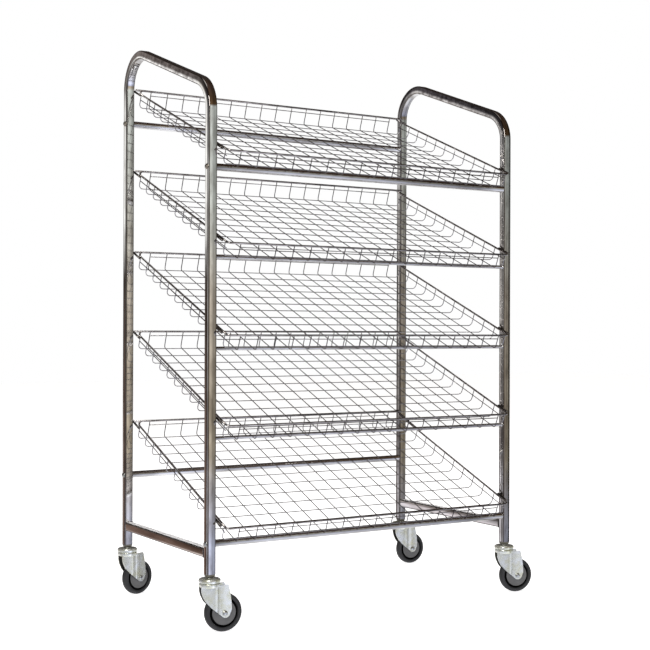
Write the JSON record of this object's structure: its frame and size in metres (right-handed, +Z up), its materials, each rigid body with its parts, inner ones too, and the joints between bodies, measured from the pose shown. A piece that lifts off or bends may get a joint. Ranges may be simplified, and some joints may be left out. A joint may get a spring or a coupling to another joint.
{
  "type": "book cart",
  "caption": "Wheeled cart of two bent square-tube end frames carrying a stack of backward-sloping wire baskets for books, on swivel casters.",
  "frame": {"origin": "on the floor, under the middle of the cart's bounding box", "axes": "+Z up, +X along the baskets, -Y towards their low front edge"},
  "size_m": [1.0866, 0.6078, 1.5634],
  "materials": {
    "chrome_tube": "bright plated steel tube",
    "chrome_wire": "bright plated wire, a little dull",
    "zinc": "zinc plated pressed steel, faint yellow-green tint",
    "dark_bolt": "dark plated bolt head",
    "plug_grey": "moulded plug in the post foot",
    "hub_grey": "moulded wheel centre, satin",
    "tyre_grey": "grey rubber tread, matt"
  },
  "bodies": {
    "frame": {"basket_1": "chrome_wire", "basket_2": "chrome_wire", "basket_3": "chrome_wire", "basket_4": "chrome_wire", "basket_5": "chrome_wire", "bolt_bottom_front_left": "zinc", "bolt_bottom_front_right": "zinc", "bolt_bottom_rear_left": "zinc", "bolt_bottom_rear_right": "zinc", "bolt_top_front_left": "dark_bolt", "bolt_top_front_right": "dark_bolt", "bolt_top_rear_left": "dark_bolt", "bolt_top_rear_right": "dark_bolt", "end_frame_left": "chrome_tube", "end_frame_right": "chrome_tube", "lower_tie_left": "chrome_tube", "lower_tie_right": "chrome_tube", "plug_front_left": "plug_grey", "plug_front_right": "plug_grey", "plug_rear_left": "plug_grey", "plug_rear_right": "plug_grey", "race_front_left": "zinc", "race_front_right": "zinc", "race_rear_left": "zinc", "race_rear_right": "zinc", "rail_bottom_front": "chrome_tube", "rail_bottom_rear": "chrome_tube", "rail_top_front": "chrome_tube", "rail_top_rear": "chrome_tube", "stem_front_left": "zinc", "stem_front_right": "zinc", "stem_rear_left": "zinc", "stem_rear_right": "zinc", "support_rod_2": "chrome_tube", "support_rod_3": "chrome_tube", "support_rod_4": "chrome_tube"},
    "swivel_front_left": {"axle_front_left": "zinc", "fork_front_left": "zinc"},
    "swivel_front_right": {"axle_front_right": "zinc", "fork_front_right": "zinc"},
    "swivel_rear_left": {"axle_rear_left": "zinc", "fork_rear_left": "zinc"},
    "swivel_rear_right": {"axle_rear_right": "zinc", "fork_rear_right": "zinc"},
    "wheel_front_left": {"hub_front_left": "hub_grey", "tyre_front_left": "tyre_grey"},
    "wheel_front_right": {"hub_front_right": "hub_grey", "tyre_front_right": "tyre_grey"},
    "wheel_rear_left": {"hub_rear_left": "hub_grey", "tyre_rear_left": "tyre_grey"},
    "wheel_rear_right": {"hub_rear_right": "hub_grey", "tyre_rear_right": "tyre_grey"}
  },
  "joints": [
    {"name": "swivel_front_left", "type": "hinge", "parent": "frame", "child": "swivel_front_left", "pos_m": [-0.51481, -0.25435, 0.1225], "axis": [0, 0, 1], "continuous": true},
    {"name": "wheel_spin_front_left", "type": "hinge", "parent": "swivel_front_left", "child": "wheel_front_left", "pos_m": [-0.47916, -0.25936, 0.05], "axis": [0.1392, 0.9903, 0], "continuous": true},
    {"name": "swivel_front_right", "type": "hinge", "parent": "frame", "child": "swivel_front_right", "pos_m": [0.45719, -0.25435, 0.1225], "axis": [0, 0, 1], "continuous": true},
    {"name": "wheel_spin_front_right", "type": "hinge", "parent": "swivel_front_right", "child": "wheel_front_right", "pos_m": [0.4918, -0.26427, 0.05], "axis": [0.2756, 0.9613, 0], "continuous": true},
    {"name": "swivel_rear_left", "type": "hinge", "parent": "frame", "child": "swivel_rear_left", "pos_m": [-0.51481, 0.27165, 0.1225], "axis": [0, 0, 1], "continuous": true},
    {"name": "wheel_spin_rear_left", "type": "hinge", "parent": "swivel_rear_left", "child": "wheel_rear_left", "pos_m": [-0.48003, 0.28097, 0.05], "axis": [-0.2588, 0.9659, 0], "continuous": true},
    {"name": "swivel_rear_right", "type": "hinge", "parent": "frame", "child": "swivel_rear_right", "pos_m": [0.45719, 0.27165, 0.1225], "axis": [0, 0, 1], "continuous": true},
    {"name": "wheel_spin_rear_right", "type": "hinge", "parent": "swivel_rear_right", "child": "wheel_rear_right", "pos_m": [0.49314, 0.26977, 0.05], "axis": [0.0523, 0.9986, 0], "continuous": true}
  ]
}
